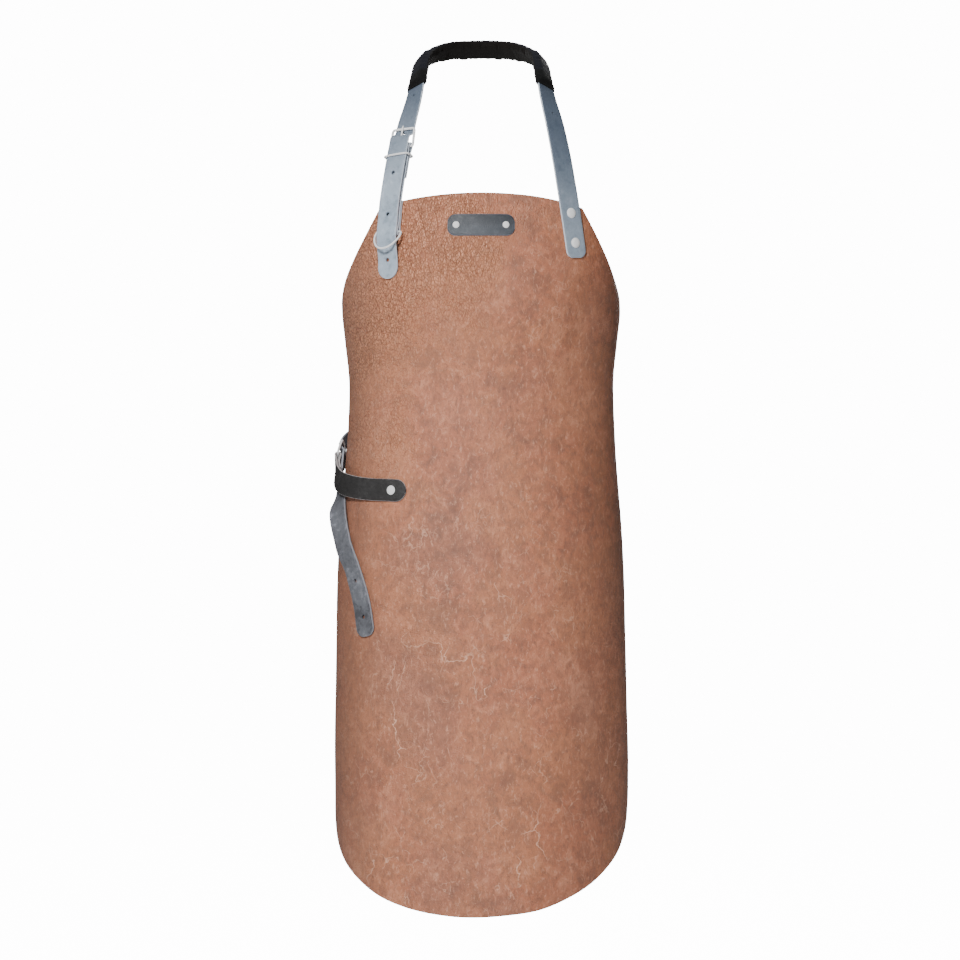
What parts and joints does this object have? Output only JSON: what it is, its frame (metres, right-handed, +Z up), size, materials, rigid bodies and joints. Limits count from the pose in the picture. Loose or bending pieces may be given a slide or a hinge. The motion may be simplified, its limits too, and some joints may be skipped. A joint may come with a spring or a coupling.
{
  "type": "leather apron",
  "caption": "Full-length leather work apron in its worn form, with a padded neck strap and buckle, riveted straps, a bare label patch and a buckled waist strap.",
  "frame": {"origin": "the middle of the inner face of the neck pad at the back of the neck, where the apron hangs", "axes": "+Z up, the front of the apron faces -Y, the wearer's right hand side is at -X"},
  "size_m": [0.3389, 0.2134, 0.9939],
  "materials": {
    "hide": "tan pebbled leather, matt with a soft sheen",
    "strap": "grey smooth strap leather, light cut edges",
    "waist_strap": "mid grey smooth strap leather",
    "tab": "charcoal strap leather",
    "label": "grey leather patch, bare",
    "pad": "near-black soft padded leather",
    "nickel": "bright nickel-plated steel"
  },
  "bodies": {
    "root": {"apron_body": "hide", "neck_strap": "strap", "buckle_strap": "strap", "neck_pad": "pad", "neck_buckle": "nickel", "neck_buckle_prong": "nickel", "strap_keeper": "nickel", "d_ring": "nickel", "strap_rivet_right_upper": "nickel", "strap_rivet_right_lower": "nickel", "strap_rivet_left_upper": "nickel", "strap_rivet_left_lower": "nickel", "label_patch": "label", "label_rivet_left": "nickel", "label_rivet_right": "nickel", "side_tab": "tab", "side_tab_rivet": "nickel", "waist_strap": "waist_strap", "waist_strap_rivet": "nickel", "waist_buckle": "nickel", "waist_buckle_prong": "nickel"}
  },
  "joints": []
}
